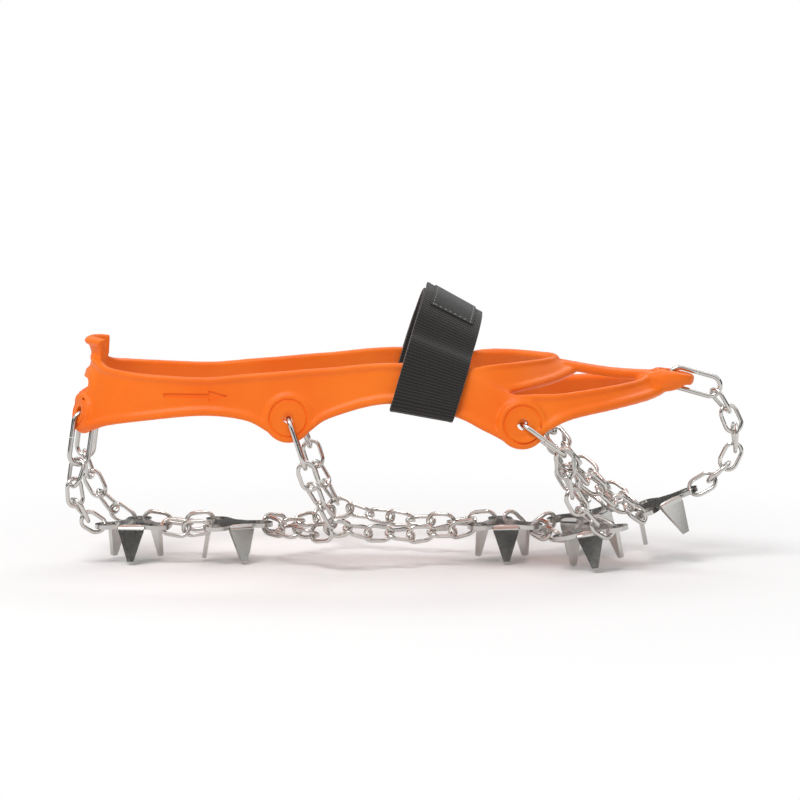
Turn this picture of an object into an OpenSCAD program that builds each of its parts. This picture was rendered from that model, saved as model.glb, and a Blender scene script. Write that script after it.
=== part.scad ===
/* [Harness] */
// Wall of the moulded harness
harness_wall = 3.6; // [2.8:0.1:4.6]
// Bore of a ring eyelet
eyelet_bore = 5.2; // [5:0.1:5.6]
// Diameter of the boss round an eyelet
eyelet_boss = 16; // [13:0.5:18]
// Height of a boss over each face of the wall
boss_proud = 0.5; // [0.2:0.1:1]
// Diameter of the lobe at the tip of the toe
toe_lobe = 20; // [18:0.5:24]
// Width of the spine from the forefoot branches to the toe
spine_width = 12; // [8:0.5:16]
// Width of the slot in the heel
heel_slot_width = 30; // [20:1:34]
// Height of the slot in the heel
heel_slot_height = 8; // [5:0.5:10]

/* [Rings] */
// Outside length of an eyelet ring
ring_length = 27; // [25:0.5:28]
// Outside width of an eyelet ring
ring_width = 12; // [11:0.5:14]
// Wire of the rings
ring_wire = 2.4; // [2:0.1:2.6]
// Butt gap where the ring's wire is closed
ring_gap = 0.6; // [0.3:0.1:1]
// Outside diameter of a junction ring
junction_ring = 14; // [13.5:0.5:17]

/* [Chain] */
// Outside length of a chain link
link_length = 15.3; // [15:0.1:16]
// Outside width of a chain link
link_width = 10; // [9.4:0.1:11]
// Wire of a chain link
link_wire = 2; // [1.8:0.1:2.1]
// Play between two links that pull on each other
link_play = 0.4; // [0.3:0.05:0.5]
// Play between two links of a stretch that hangs slack
slack_play = 1.5; // [0.8:0.1:1.6]

/* [Spike plates] */
// Thickness of the plate steel
plate_steel = 2; // [1.5:0.1:2.3]
// Distance of a chain hole from the plate's centre
lug_reach = 14; // [13:0.1:15]
// Bore of a chain hole
lug_bore = 7.6; // [7.2:0.1:8]
// Width of the steel round a chain hole
lug_rim = 2; // [1.6:0.1:2.6]
// Depth of a tooth below the plate's top face
tooth_depth = 17; // [12:0.5:20]
// Width of a tooth at its bend
tooth_width = 12; // [9:0.5:13]
// Width of a tooth at its tip
tooth_tip = 1.6; // [1:0.1:3]
// Distance of a tooth's outer face from the plate's centre
tooth_reach = 11.5; // [10:0.1:13]

/* [Strap] */
// Width of the webbing
strap_width = 30; // [20:1:34]
// Thickness of the webbing
strap_thickness = 1.6; // [1:0.1:2]
// Thickness of the hook patch and of the loop patch
patch_thickness = 0.7; // [0.4:0.1:1]

/* [Hidden] */
$fn = 48;

harness_orange = [0.98, 0.45, 0.12];
webbing_black = [0.14, 0.13, 0.12];
steel = [0.78, 0.77, 0.75];

// Vectors and curves
function unit(v) = v / norm(v);
function mix(a, b, t) = a + (b - a) * t;
function flip_y(p) = [p[0], -p[1], p[2]];
function total(v, i = 0) = i >= len(v) ? 0 : v[i] + total(v, i + 1);
function spline(a, b, c, d, t) =
    0.5 * (2 * b + (c - a) * t + (2 * a - 5 * b + 4 * c - d) * t * t + (3 * b - a - 3 * c + d) * t * t * t);
function wrap(list, i) = list[(i + len(list)) % len(list)];
function clamp_at(list, i) = list[max(0, min(len(list) - 1, i))];

// A skin over sections of equal point counts, closed into a loop or capped at both ends
module skin(sections, loop = false) {
    count = len(sections);
    sides = len(sections[0]);
    last = loop ? count : count - 1;
    walls = [for (i = [0 : last - 1], j = [0 : sides - 1])
        let (a = i * sides + j, b = i * sides + (j + 1) % sides,
             c = ((i + 1) % count) * sides + j, d = ((i + 1) % count) * sides + (j + 1) % sides)
        each [[a, b, c], [b, d, c]]];
    caps = loop ? [] : [for (j = [1 : sides - 2]) each
        [[0, j + 1, j], [(count - 1) * sides, (count - 1) * sides + j, (count - 1) * sides + j + 1]]];
    polyhedron(points = [for (s = sections) each s], faces = concat(walls, caps), convexity = 10);
}

// Eyelets of the right side: centre on the outer face, and the way the bore points outwards
heel_eyelet = [-150, -14.5, 54.5];
heel_eyelet_out = unit([-0.86, -0.45, 0.24]);
mid_eyelet = [-51.7, -39.4, 54.5];
mid_eyelet_out = unit([0, -1, 0.09]);
front_eyelet = [56.4, -47.7, 52.5];
front_eyelet_out = unit([0.12, -0.97, 0.12]);
toe_eyelet = [128.5, 0, 72.4];
toe_eyelet_out = [sin(10), 0, cos(10)];
toe_lobe_back = 1.5;

// Harness band: stations from the heel's centre to the toe, right side, as [lower edge, upper edge]
right_stations = [
    [[-153, 0, 57], [-145, 0, 78]],
    [heel_eyelet + [-2.8, 5.5, -4.5], heel_eyelet + [5.4, 6.5, 23]],
    [heel_eyelet + [-1.5, -1, -11], heel_eyelet + [7, 0.5, 22.5]],
    [heel_eyelet + [3.5, -8.5, -8.5], heel_eyelet + [11.5, -6.5, 21.8]],
    [[-138, -30, 50], [-131, -28, 75.8]],
    [[-122, -36, 52.5], [-118, -34, 74.5]],
    [[-92, -39.5, 55.6], [-92, -37, 73.3]],
    [[-72, -40, 53.5], [-72, -37.3, 74.8]],
    [mid_eyelet + [-9.3, -0.9, -8], mid_eyelet + [-9.3, 2, 21.1]],
    [mid_eyelet + [0, -1.1, -13], mid_eyelet + [0, 1.9, 21.9]],
    [mid_eyelet + [9.2, -1.1, -8], mid_eyelet + [9.2, 1.7, 22.7]],
    [[-32, -40.8, 54.5], [-32, -38, 78]],
    [[-5, -42, 61.5], [-5, -39, 80.3]],
    [[24, -46.5, 56.5], [24, -41.5, 79]],
    [front_eyelet + [-16.4, -1.3, -4], front_eyelet + [-18.4, 4.2, 21.5]],
    [front_eyelet + [-0.4, -2.3, -11.5], front_eyelet + [-5.4, 2.7, 14.5]],
    [front_eyelet + [11.6, -0.3, -4], front_eyelet + [7.6, 4.2, 13.8]],
    [[80, -44.5, 55], [76, -40.5, 66.5]],
    [[102, -33, 59], [97, -29.5, 68.5]],
    [toe_eyelet + [-9.5, -17, -10.4], toe_eyelet + [-16.5, -14, -2.4]],
    [toe_eyelet + [-1.5, 0, -8.4], toe_eyelet + [-10.5, 0, -0.4]]];
left_stations = [for (i = [len(right_stations) - 2 : -1 : 1])
    [flip_y(right_stations[i][0]), flip_y(right_stations[i][1])]];
band_stations = concat(right_stations, left_stations);
band_steps = 2;

// Forefoot branch: stations from the right band over the crest to the left band, as [front edge, rear edge]
right_branch = [
    [[41, -44.5, 63], [22, -40.5, 77.5]],
    [[53, -40.5, 67], [36, -40, 79]],
    [[64, -32, 68.5], [52, -33, 80]],
    [[75, -18, 70], [66, -18, 80.3]],
    [[83, -6, 73], [72, -6, 80.3]]];
branch_stations = concat(right_branch, [for (i = [len(right_branch) - 1 : -1 : 0])
    [flip_y(right_branch[i][0]), flip_y(right_branch[i][1])]]);

// Pull tab: stations across the heel, as [foot, top]
right_tab = [
    [[-140, -13, 76], [-141.5, -12.5, 85]],
    [[-142.3, -10, 76], [-145.5, -10, 87.5]],
    [[-144, -5, 76], [-148, -5, 88.6]]];
tab_stations = concat([for (s = right_tab) [flip_y(s[0]), flip_y(s[1])]],
                      [for (i = [len(right_tab) - 1 : -1 : 0]) right_tab[i]]);

// Outward normal of a loft whose stations are [low, high], at station i
function loft_normal(s, i, loop) =
    let (before = loop ? wrap(s, i - 1) : clamp_at(s, i - 1), after = loop ? wrap(s, i + 1) : clamp_at(s, i + 1),
         along = (after[0] + after[1]) - (before[0] + before[1]))
    unit(cross(along, s[i][1] - s[i][0]));
// Cross-section with chamfered edges, from the outer face inwards by the wall
edge_share = 0.06;
function wall_section(low, high, out, wall) = [
    for (k = [[edge_share, 0], [1 - edge_share, 0], [1, -0.3], [1, -0.7],
              [1 - edge_share, -1], [edge_share, -1], [0, -0.7], [0, -0.3]])
        mix(low, high, k[0]) + out * wall * k[1]];
function refined(s, steps, loop) = [
    for (i = [0 : len(s) - (loop ? 1 : 2)], k = [0 : steps - 1])
        let (a = loop ? wrap(s, i - 1) : clamp_at(s, i - 1), b = s[i],
             c = loop ? wrap(s, i + 1) : clamp_at(s, i + 1), d = loop ? wrap(s, i + 2) : clamp_at(s, i + 2))
        [spline(a[0], b[0], c[0], d[0], k / steps), spline(a[1], b[1], c[1], d[1], k / steps)],
    if (!loop) s[len(s) - 1]];
module wall_loft(stations, steps, loop) {
    fine = refined(stations, steps, loop);
    skin([for (i = [0 : len(fine) - 1])
        wall_section(fine[i][0], fine[i][1], loft_normal(fine, i, loop), harness_wall)], loop);
}

eyelets = [[heel_eyelet, heel_eyelet_out], [flip_y(heel_eyelet), flip_y(heel_eyelet_out)],
           [mid_eyelet, mid_eyelet_out], [flip_y(mid_eyelet), flip_y(mid_eyelet_out)],
           [front_eyelet, front_eyelet_out], [flip_y(front_eyelet), flip_y(front_eyelet_out)]];

// Stand a shape that is built along +Z on a point, pointing along a direction
module aim(point, way) {
    translate(point) rotate([0, acos(way[2]), atan2(way[1], way[0])]) children();
}
module eyelet_boss() {
    translate([0, 0, -harness_wall - boss_proud]) cylinder(d = eyelet_boss, h = harness_wall + 2 * boss_proud);
}
module eyelet_hole() {
    translate([0, 0, -3 * harness_wall]) cylinder(d = eyelet_bore, h = 6 * harness_wall);
}
module spine() {
    slope = [[76, 77.5], [100, 73.5], [toe_eyelet[0] - 4.5, toe_eyelet[2] - 0.4]];
    translate([0, spine_width / 2, 0]) rotate([90, 0, 0]) linear_extrude(spine_width)
        polygon(concat(slope, [for (i = [2 : -1 : 0]) slope[i] - [0, harness_wall]]));
}
// Heel slot: height above the sole plane, how far behind the heel its cut starts, and the cut's length
heel_slot_z = 66.5;
heel_slot_lead = 17;
heel_slot_cut = 35;
module heel_slot() {
    slot_reach = heel_slot_width / 2 - heel_slot_height / 2;
    translate([right_stations[0][0][0] - heel_slot_lead, 0, heel_slot_z]) rotate([0, 90, 0]) {
        linear_extrude(heel_slot_cut) square([heel_slot_height, 2 * slot_reach], center = true);
        for (side = [-1, 1]) translate([0, side * slot_reach, 0]) cylinder(d = heel_slot_height, h = heel_slot_cut);
    }
}
module harness() {
    color(harness_orange) difference() {
        union() {
            wall_loft(band_stations, band_steps, true);
            wall_loft(branch_stations, 2, false);
            wall_loft(tab_stations, 2, false);
            spine();
            aim(toe_eyelet, toe_eyelet_out) translate([-toe_lobe_back, 0, -harness_wall])
                cylinder(d = toe_lobe, h = harness_wall);
            for (e = eyelets) aim(e[0], e[1]) eyelet_boss();
        }
        for (e = eyelets) aim(e[0], e[1]) eyelet_hole();
        aim(toe_eyelet, toe_eyelet_out) eyelet_hole();
        heel_slot();
    }
}

// Stand a shape on a point with its own X axis along one direction and its Y axis along another
module place(point, x, y) {
    z = cross(x, y);
    multmatrix([[x[0], y[0], z[0], point[0]], [x[1], y[1], z[1], point[1]], [x[2], y[2], z[2], point[2]]])
        children();
}
// Wire bent to an oval in the XY plane, long along X
module oval(length, width, wire) {
    bow = (width - wire) / 2;
    leg = length - width;
    for (end = [-1, 1]) {
        translate([end * leg / 2, 0, 0]) rotate([0, 0, -90 * end]) rotate_extrude(angle = 180)
            translate([bow, 0]) circle(d = wire);
        translate([-leg / 2, end * bow, 0]) rotate([0, 90, 0]) cylinder(d = wire, h = leg);
    }
}

// Eyelet rings: the way each one hangs, then its centre, its outward side and its hanging end
ring_clearance = 0.8;
ring_bow = (ring_width - ring_wire) / 2;
boss_half = harness_wall / 2 + boss_proud;
ring_setback = ring_bow - sqrt(ring_bow * ring_bow - boss_half * boss_half);
function ring_side(out, way) = unit(out - way * (out * way));
function ring_start(eyelet, out, way) =
    eyelet - out * harness_wall / 2 + way * (eyelet_bore / 2 - ring_wire / 2 - ring_clearance - ring_setback);
function ring_end(eyelet, out, way) = ring_start(eyelet, out, way) + way * (ring_length - ring_wire);
heel_ring_way = unit([-0.14, -0.08, -1]);
mid_ring_way = unit([0.32, -0.12, -0.94]);
front_ring_way = unit([0.8, 0.08, -0.6]);
toe_ring_way = unit([0.962, 0, -0.273]);
module eyelet_ring(eyelet, out, way) {
    centre = ring_start(eyelet, out, way) + way * (ring_length - ring_wire) / 2;
    color(steel) place(centre, way, ring_side(out, way)) difference() {
        oval(ring_length, ring_width, ring_wire);
        translate([-ring_gap / 2, 0, -ring_wire]) cube([ring_gap, ring_width, 2 * ring_wire]);
    }
}
// Where a chain pulls on a ring's hanging bow, turned off its middle
function ring_anchor(eyelet, out, way, turn = 0) =
    let (side = ring_side(out, way), middle = ring_end(eyelet, out, way) - way * ring_bow)
    [middle + ring_bow * (way * cos(turn) + side * sin(turn)), side * cos(turn) - way * sin(turn), 0, ring_wire / 2];

// Junction rings in the waist, tipped up towards the mid rings
junction_way = unit([0, 1, 1]);
junction_place = [-29, -32.7, 2];
module junction_ring_at(point, way) {
    color(steel) aim(point, way) rotate_extrude() translate([(junction_ring - ring_wire) / 2, 0]) circle(d = ring_wire);
}
function junction_anchor(side) = [
    side < 0 ? junction_place : flip_y(junction_place), side < 0 ? junction_way : flip_y(junction_way),
    (junction_ring - ring_wire) / 2, ring_wire / 2];

// Spike plates: centre of the top face, nose-up tilt, angle of the first lug
heel_rear_plate = [[-126.5, 0, 0], 0, 85];
heel_front_plate = [[-80.5, 0, 0], 0, 0];
forefoot_plate = [[49.3, 0, 0], 0, 95];
ball_right_plate = [[89.6, -22.5, 0.6], 10, 84];
ball_left_plate = [[89.6, 22.5, 0.6], 10, 36];
toe_plate = [[123, 0, 10], 22, 0];
function lug_angle(plate, lug) = plate[2] + 120 * lug;
function lug_centre(plate, lug) =
    let (x = lug_reach * cos(lug_angle(plate, lug)), z = -plate_steel / 2)
    plate[0] + [x * cos(plate[1]) - z * sin(plate[1]), lug_reach * sin(lug_angle(plate, lug)),
                x * sin(plate[1]) + z * cos(plate[1])];
function lug_anchor(plate, lug) = [
    lug_centre(plate, lug), [-sin(plate[1]), 0, cos(plate[1])],
    (lug_bore + lug_rim) / 2, norm([plate_steel, lug_rim]) / 2];

bend_radius = plate_steel + 1;
tooth_splay = 10;
arc_steps = 6;
module tooth_profile() {
    bend = [tooth_reach - bend_radius, -bend_radius];
    leg = (tooth_depth - bend_radius * (1 - sin(tooth_splay))) / cos(tooth_splay);
    down = [sin(tooth_splay), -cos(tooth_splay)];
    turn = [for (i = [0 : arc_steps]) 90 - (90 - tooth_splay) * i / arc_steps];
    outer = [for (a = turn) bend + bend_radius * [cos(a), sin(a)]];
    inner = [for (a = turn) bend + (bend_radius - plate_steel) * [cos(a), sin(a)]];
    polygon(concat([[0, 0]], outer, [outer[arc_steps] + leg * down, inner[arc_steps] + leg * down],
                   [for (i = [arc_steps : -1 : 0]) inner[i]], [[0, -plate_steel]]));
}
module tooth() {
    reach = 2 * tooth_reach;
    intersection() {
        translate([0, tooth_width / 2, 0]) rotate([90, 0, 0]) linear_extrude(tooth_width) tooth_profile();
        rotate([90, 0, 90]) linear_extrude(reach) polygon([
            [-tooth_width / 2, plate_steel], [tooth_width / 2, plate_steel], [tooth_width / 2, -bend_radius],
            [tooth_tip / 2, -tooth_depth - plate_steel], [-tooth_tip / 2, -tooth_depth - plate_steel],
            [-tooth_width / 2, -bend_radius]]);
    }
}
module spike_plate(plate) {
    lug_width = lug_bore + 2 * lug_rim;
    color(steel) translate(plate[0]) rotate([0, -plate[1], 0]) rotate([0, 0, plate[2]]) difference() {
        union() {
            for (lug = [0 : 2]) rotate([0, 0, 120 * lug]) {
                translate([0, -lug_width / 2, -plate_steel]) cube([lug_reach, lug_width, plate_steel]);
                translate([lug_reach, 0, -plate_steel]) cylinder(d = lug_width, h = plate_steel);
                rotate([0, 0, 60]) tooth();
            }
        }
        for (lug = [0 : 2]) rotate([0, 0, 120 * lug])
            translate([lug_reach, 0, -2 * plate_steel]) cylinder(d = lug_bore, h = 4 * plate_steel);
    }
}

// Chain stretches: links on a curve that sags between two anchors. An anchor is the bar that a link goes round:
// [centre, normal, radius, half thickness] of a round bar, or [point, direction, 0, half thickness] of a straight one
link_span = link_length - link_wire;
taut_pitch = link_span - link_wire - link_play;
slack_pitch = link_span - link_wire - slack_play;
curve_steps = 32;
function pull(from, to) = let (v = to[0] - from[0]) unit(v - from[1] * (v * from[1]));
function hook_point(from, to) = from[2] == 0 ? from[0] : from[0] + from[2] * pull(from, to);
function hook_bar(from, to) = from[2] == 0 ? from[1] : cross(from[1], pull(from, to));
function hook_reach(anchor) = link_wire / 2 + anchor[3] + link_play;
function sag_curve(p, q, sag, t) = mix(p, q, t) + 3 * t * (1 - t) * sag;
function curve_length(p, q, sag) = total([for (i = [1 : curve_steps])
    norm(sag_curve(p, q, sag, i / curve_steps) - sag_curve(p, q, sag, (i - 1) / curve_steps))]);
function down_from(p, q) = let (c = unit(q - p)) unit([0, 0, -1] + c * c[2]);
function sag_for(p, q, length, low = 0, high = 60, tries = 24) =
    let (middle = (low + high) / 2)
    tries == 0 ? middle
    : curve_length(p, q, middle * down_from(p, q)) < length ? sag_for(p, q, length, middle, high, tries - 1)
    : sag_for(p, q, length, low, middle, tries - 1);
function arc_table(p, q, sag, i = 0, run = 0) = i > curve_steps ? []
    : let (now = i == 0 ? 0 : run + norm(sag_curve(p, q, sag, i / curve_steps)
                                         - sag_curve(p, q, sag, (i - 1) / curve_steps)))
      concat([[now, i / curve_steps]], arc_table(p, q, sag, i + 1, now));
// Point of the sagging curve at a run from its start, straight on beyond both ends
function at_run(p, q, sag, table, run) =
    let (length = table[curve_steps][0])
    run < 0 ? p + run * unit(q - p + 3 * sag)
    : run > length ? q + (run - length) * unit(q - p - 3 * sag)
    : sag_curve(p, q, sag, lookup(run, table));
// Roll that lays a link square to the bar it goes round
function bar_roll(bar, way, aside) = atan2(-(bar * cross(aside, way)), bar * aside);
// A stretch with an even count of links turns its end links a little, so that all links cross
function end_turns(count) = count == 2 ? [-31, 31] : count % 2 == 0 ? [-20, 20] : [0, 0];
module chain(from, to, slack = 1.006, turns = undef) {
    p = hook_point(from, to);
    q = hook_point(to, from);
    reach = [hook_reach(from), hook_reach(to)];
    needed = norm(q - p) * slack + reach[0] + reach[1] - link_span;
    count = max(1, ceil(needed / taut_pitch) + 1);
    pitch = count == 1 ? taut_pitch : max(slack_pitch, min(taut_pitch, needed / (count - 1)));
    sag = down_from(p, q) * sag_for(p, q, (count - 1) * pitch + link_span - reach[0] - reach[1]);
    table = arc_table(p, q, sag);
    aside = unit(cross(q - p, down_from(p, q)));
    ends = [for (i = [0 : count - 1]) [for (run = [i * pitch, i * pitch + link_span])
        at_run(p, q, sag, table, run - reach[0])]];
    ways = [for (e = ends) unit(e[1] - e[0])];
    turned = is_undef(turns) ? end_turns(count) : turns;
    first = bar_roll(hook_bar(from, to), ways[0], aside) + turned[0];
    last = bar_roll(hook_bar(to, from), ways[count - 1], aside) + turned[1];
    half_turns = round((90 * (count - 1) - (last - first)) / 180);
    step = count == 1 ? 0 : (last - first + 180 * half_turns) / (count - 1);
    color(steel) for (i = [0 : count - 1]) {
        roll = first + step * i;
        place((ends[i][0] + ends[i][1]) / 2, ways[i], cross(aside, ways[i]) * cos(roll) + aside * sin(roll))
            oval(link_length, link_width, link_wire);
    }
}

// Strap: middle of the webbing as [y, z] on the right side, and its lean over the instep
strap_foot_x = 10.3;
strap_foot_z = 58;
strap_crown_z = 104;
strap_lean = 0.3;
foot_slant = 10;
crown_slant = 29;
foot_flare = 0.15;
strap_fold = [[-47, 61.5], [-47, 59.4], [-45.9, 57.2], [-42.9, 56.3], [-39.8, 57.3], [-38.7, 60.5]];
strap_rise = [[-37, 70], [-35, 80.4], [-32.3, 87.5], [-26.5, 95.5], [-15, 102]];
strap_crown = [[0, strap_crown_z]];
strap_sewn_end = [[47, 61.5], [45.3, 70], [43.1, 80.2], [38.8, 86.8], [32, 92.4]];
strap_right = concat(strap_fold, strap_rise);
base_path = concat(strap_right, strap_crown, [for (i = [len(strap_right) - 1 : -1 : 1])
    [-strap_right[i][0], strap_right[i][1]]], strap_sewn_end);
tail_foot = [[-46.9, 63], [-45.3, 70], [-43.1, 80.2], [-40.4, 85.4]];
function rise_share(z) = (z - strap_foot_z) / (strap_crown_z - strap_foot_z);
function strap_frames(path) = [for (i = [0 : len(path) - 1])
    let (y = path[i][0], z = path[i][1], slant = mix(foot_slant, crown_slant, rise_share(z)),
         flare = sign(y) * foot_flare * (1 - rise_share(z)),
         across = unit([cos(slant), flare, -sin(slant)]),
         run = clamp_at(path, i + 1) - clamp_at(path, i - 1))
    [[strap_foot_x + strap_lean * (z - strap_foot_z), y, z], across, unit(cross([0, run[0], run[1]], across))]];
base_frames = strap_frames(base_path);
patch_play = 0.3;
tail_lift = strap_thickness + 2 * patch_thickness + patch_play;
loop_first = len(strap_fold) + 2;
loop_last = len(strap_right);
tail_frames = concat(strap_frames(tail_foot), [for (i = [loop_first : loop_last])
    [base_frames[i][0] - base_frames[i][2] * tail_lift, base_frames[i][1], base_frames[i][2]]]);
module strip(frames, width, inner, outer) {
    skin([for (f = frames) [for (k = [[-1, outer], [-1, inner], [1, inner], [1, outer]])
        f[0] + f[1] * k[0] * width / 2 - f[2] * k[1]]]);
}
function some(list, from, to) = [for (i = [from : to]) list[i]];
half_strap = strap_thickness / 2;
patch_margin = 2;
module strap_base() {
    color(webbing_black) strip(base_frames, strap_width, -half_strap, half_strap);
}
module strap_tail() {
    color(webbing_black) strip(tail_frames, strap_width, -half_strap, half_strap);
}
module strap_loop_patch() {
    color(webbing_black) strip(some(base_frames, loop_first, loop_last), strap_width - patch_margin,
                               half_strap, half_strap + patch_thickness);
}
module strap_hook_patch() {
    color(webbing_black) strip(some(tail_frames, len(tail_foot), len(tail_frames) - 1), strap_width - patch_margin,
                               -half_strap - patch_thickness, -half_strap);
}
module strap_end_patch() {
    color(webbing_black) strip(some(tail_frames, len(tail_frames) - 2, len(tail_frames) - 1),
                               strap_width - 4 * patch_margin, half_strap, half_strap + patch_thickness);
}

module ring_heel_right() { eyelet_ring(heel_eyelet, heel_eyelet_out, heel_ring_way); }
module ring_heel_left() { eyelet_ring(flip_y(heel_eyelet), flip_y(heel_eyelet_out), flip_y(heel_ring_way)); }
module ring_mid_right() { eyelet_ring(mid_eyelet, mid_eyelet_out, mid_ring_way); }
module ring_mid_left() { eyelet_ring(flip_y(mid_eyelet), flip_y(mid_eyelet_out), flip_y(mid_ring_way)); }
module ring_front_right() { eyelet_ring(front_eyelet, front_eyelet_out, front_ring_way); }
module ring_front_left() { eyelet_ring(flip_y(front_eyelet), flip_y(front_eyelet_out), flip_y(front_ring_way)); }
module ring_toe() { eyelet_ring(toe_eyelet, toe_eyelet_out, toe_ring_way); }
heel_right_turn = 4;
heel_left_turn = -8;
function heel_hang(side) = side < 0 ? ring_anchor(heel_eyelet, heel_eyelet_out, heel_ring_way, heel_right_turn)
    : ring_anchor(flip_y(heel_eyelet), flip_y(heel_eyelet_out), flip_y(heel_ring_way), heel_left_turn);
function mid_hang(side) = side < 0 ? ring_anchor(mid_eyelet, mid_eyelet_out, mid_ring_way)
    : ring_anchor(flip_y(mid_eyelet), flip_y(mid_eyelet_out), flip_y(mid_ring_way));
// The front rings carry two chains side by side
ball_turn = 15;
toe_side_turn = -29;
toe_side_turns = [20, -20];
function front_hang(side, turn) = side < 0 ? ring_anchor(front_eyelet, front_eyelet_out, front_ring_way, turn)
    : ring_anchor(flip_y(front_eyelet), flip_y(front_eyelet_out), flip_y(front_ring_way), turn);
module junction_ring_right() { junction_ring_at(junction_place, junction_way); }
module junction_ring_left() { junction_ring_at(flip_y(junction_place), flip_y(junction_way)); }
module plate_heel_rear() { spike_plate(heel_rear_plate); }
module plate_heel_front() { spike_plate(heel_front_plate); }
module plate_forefoot() { spike_plate(forefoot_plate); }
module plate_ball_right() { spike_plate(ball_right_plate); }
module plate_ball_left() { spike_plate(ball_left_plate); }
module plate_toe() { spike_plate(toe_plate); }

right = -1;
left = 1;
hanging_slack = 1.04;
// Two chains share the heel front plate's front lug, so their first links stand square there
shared_lug_turns = [0, 30];
module chain_heel_right() { chain(heel_hang(right), lug_anchor(heel_rear_plate, 1), hanging_slack); }
module chain_heel_left() { chain(heel_hang(left), lug_anchor(heel_rear_plate, 0), hanging_slack); }
module chain_heel_link_right() { chain(lug_anchor(heel_rear_plate, 2), lug_anchor(heel_front_plate, 2)); }
module chain_heel_link_left() { chain(lug_anchor(heel_rear_plate, 0), lug_anchor(heel_front_plate, 1)); }
module chain_waist_rear_right() {
    chain(lug_anchor(heel_front_plate, 0), junction_anchor(right), turns = shared_lug_turns);
}
module chain_waist_rear_left() { mirror([0, 1, 0]) chain_waist_rear_right(); }
module chain_mid_right() { chain(mid_hang(right), junction_anchor(right)); }
module chain_mid_left() { mirror([0, 1, 0]) chain_mid_right(); }
module chain_waist_front_right() { chain(junction_anchor(right), lug_anchor(forefoot_plate, 1)); }
module chain_waist_front_left() { chain(junction_anchor(left), lug_anchor(forefoot_plate, 0)); }
module chain_ball_right() { chain(lug_anchor(forefoot_plate, 2), lug_anchor(ball_right_plate, 1)); }
module chain_ball_left() { chain(lug_anchor(forefoot_plate, 0), lug_anchor(ball_left_plate, 1)); }
module chain_ball_cross() { chain(lug_anchor(ball_right_plate, 0), lug_anchor(ball_left_plate, 2)); }
module chain_front_right() { chain(front_hang(right, ball_turn), lug_anchor(ball_right_plate, 2)); }
module chain_front_left() { mirror([0, 1, 0]) chain_front_right(); }
module chain_toe_right() { chain(front_hang(right, toe_side_turn), lug_anchor(toe_plate, 2), turns = toe_side_turns); }
module chain_toe_left() { mirror([0, 1, 0]) chain_toe_right(); }
module chain_toe() {
    toe_slack = 1.2;
    toe_turn = -35;
    chain(ring_anchor(toe_eyelet, toe_eyelet_out, toe_ring_way, toe_turn), lug_anchor(toe_plate, 0), toe_slack);
}

harness();
strap_base();
strap_tail();
strap_hook_patch();
strap_loop_patch();
strap_end_patch();
ring_heel_right();
ring_heel_left();
ring_mid_right();
ring_mid_left();
ring_front_right();
ring_front_left();
ring_toe();
junction_ring_right();
junction_ring_left();
plate_heel_rear();
plate_heel_front();
plate_forefoot();
plate_ball_right();
plate_ball_left();
plate_toe();
chain_heel_right();
chain_heel_left();
chain_heel_link_right();
chain_heel_link_left();
chain_waist_rear_right();
chain_waist_rear_left();
chain_mid_right();
chain_mid_left();
chain_waist_front_right();
chain_waist_front_left();
chain_ball_right();
chain_ball_left();
chain_ball_cross();
chain_front_right();
chain_front_left();
chain_toe_right();
chain_toe_left();
chain_toe();
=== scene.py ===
import math

import bmesh
import bpy
import numpy
from mathutils import Matrix, Vector
from mathutils.geometry import intersect_point_line


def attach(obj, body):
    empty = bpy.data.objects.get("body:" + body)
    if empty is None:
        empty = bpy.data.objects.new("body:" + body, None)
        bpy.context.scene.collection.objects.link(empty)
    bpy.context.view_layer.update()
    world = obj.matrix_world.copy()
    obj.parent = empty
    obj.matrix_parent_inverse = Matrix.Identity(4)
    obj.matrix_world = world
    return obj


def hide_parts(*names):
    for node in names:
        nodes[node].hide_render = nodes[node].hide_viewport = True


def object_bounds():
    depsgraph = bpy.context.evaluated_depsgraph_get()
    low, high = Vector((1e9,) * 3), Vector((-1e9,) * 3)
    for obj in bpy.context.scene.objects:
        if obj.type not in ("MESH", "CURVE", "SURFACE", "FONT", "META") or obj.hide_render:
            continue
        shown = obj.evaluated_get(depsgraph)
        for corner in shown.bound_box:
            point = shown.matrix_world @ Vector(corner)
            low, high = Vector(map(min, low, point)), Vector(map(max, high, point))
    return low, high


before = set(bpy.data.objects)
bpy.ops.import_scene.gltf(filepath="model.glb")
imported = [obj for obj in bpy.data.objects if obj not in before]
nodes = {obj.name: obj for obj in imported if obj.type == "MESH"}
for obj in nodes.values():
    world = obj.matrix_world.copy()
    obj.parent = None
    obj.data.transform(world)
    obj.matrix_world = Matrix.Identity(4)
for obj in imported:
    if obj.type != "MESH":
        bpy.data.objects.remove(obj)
cad_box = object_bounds()
MM = 0.001
Y_AXIS = Vector((0, 1, 0))
Z_AXIS = Vector((0, 0, 1))


# Putting objects in the scene
def place_object(name, data):
    thing = bpy.data.objects.new(name, data)
    bpy.context.scene.collection.objects.link(thing)
    return thing


def mesh_object(name, bm):
    mesh = bpy.data.meshes.new(name)
    bm.to_mesh(mesh)
    bm.free()
    return place_object(name, mesh)


# Camera at the photograph's viewing angle: a long lens, nearly level with the sole
def make_camera():
    look_at = Vector((0, 0, 58.5)) * MM
    elevation = math.radians(6.5)
    distance = 1.52
    camera = bpy.data.cameras.new("camera")
    camera.lens = 144
    camera.sensor_width = 36
    camera.clip_end = 20
    rig = place_object("camera", camera)
    rig.location = look_at + distance * Vector((0, -math.cos(elevation), math.sin(elevation)))
    rig.rotation_euler = (look_at - rig.location).to_track_quat("-Z", "Y").to_euler()
    bpy.context.scene.camera = rig


make_camera()


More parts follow.
